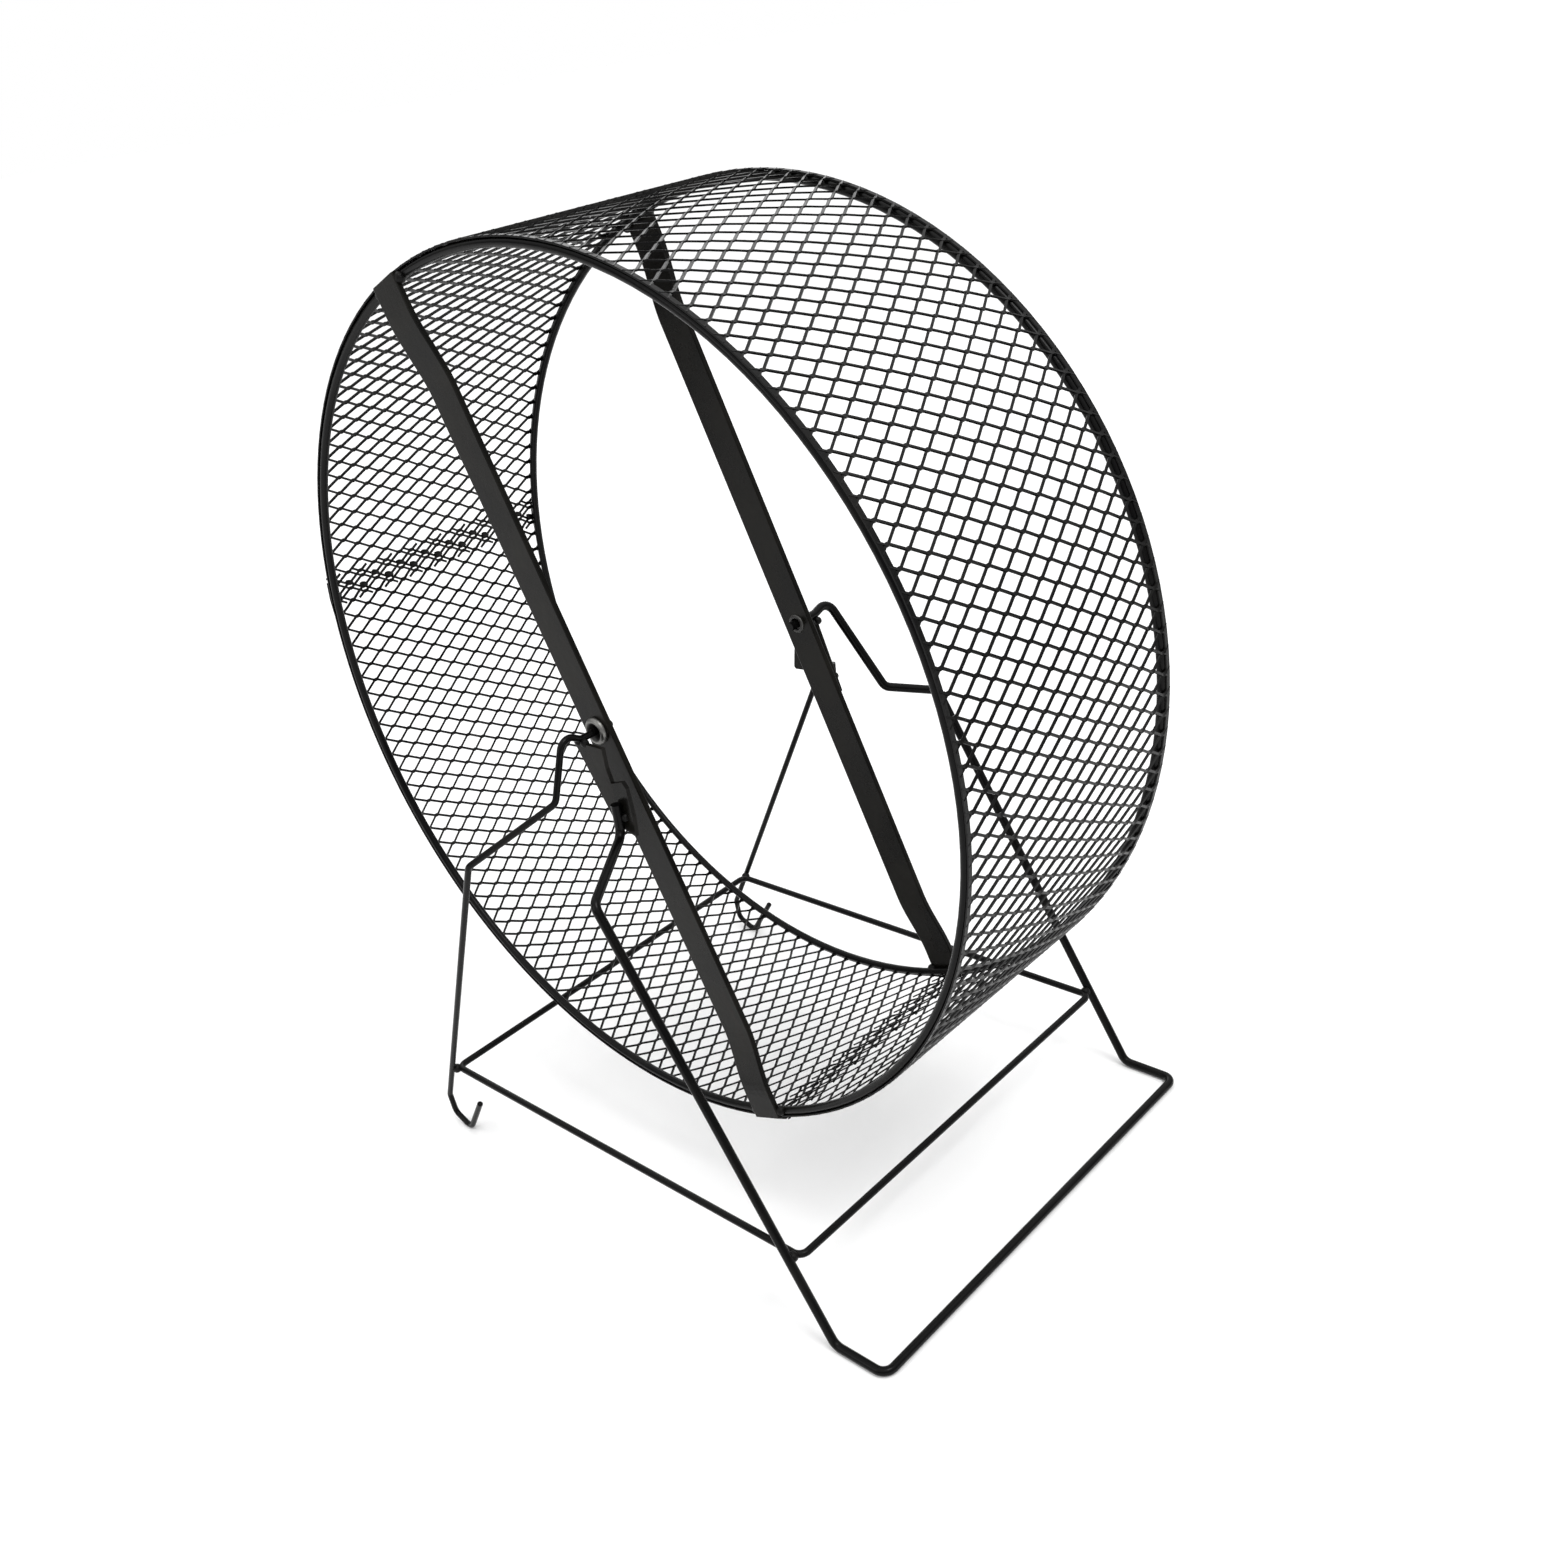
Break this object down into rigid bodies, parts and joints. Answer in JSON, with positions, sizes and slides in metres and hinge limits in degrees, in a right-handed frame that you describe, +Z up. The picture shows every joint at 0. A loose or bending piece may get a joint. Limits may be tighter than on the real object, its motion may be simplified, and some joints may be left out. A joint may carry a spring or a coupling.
{
  "type": "rodent exercise wheel",
  "caption": "Free-standing exercise wheel for a small pet: an expanded mesh drum with flat spoke bars turns on the bent wire ends of its painted stand.",
  "frame": {"origin": "on the floor, straight below the middle of the axle", "axes": "+Z up, Y along the axle, +X towards the foot bar"},
  "size_m": [0.2906, 0.183, 0.3272],
  "materials": {
    "black_paint": "gloss black enamel on steel wire, strip and expanded sheet",
    "bare_rivet": "plain light grey metal, satin"
  },
  "bodies": {
    "stand": {"front_frame_wire": "black_paint", "rear_leg_near": "black_paint", "rear_leg_far": "black_paint", "base_ring": "black_paint", "hanger_plate_near": "black_paint", "hanger_plate_far": "black_paint", "base_ring_welds": "black_paint", "hanger_welds_near": "black_paint", "hanger_welds_far": "black_paint"},
    "wheel": {"rim_hoop_near": "black_paint", "rim_hoop_far": "black_paint", "tread_mesh_long": "black_paint", "tread_mesh_short": "black_paint", "spoke_bar_near": "black_paint", "spoke_bar_far": "black_paint", "hub_eyelet_near": "bare_rivet", "hub_eyelet_far": "bare_rivet", "spoke_welds_near": "black_paint", "spoke_welds_far": "black_paint"}
  },
  "joints": [
    {"name": "wheel_spin", "type": "hinge", "parent": "stand", "child": "wheel", "pos_m": [0, 0, 0.1818], "axis": [0, 1, 0], "continuous": true}
  ]
}
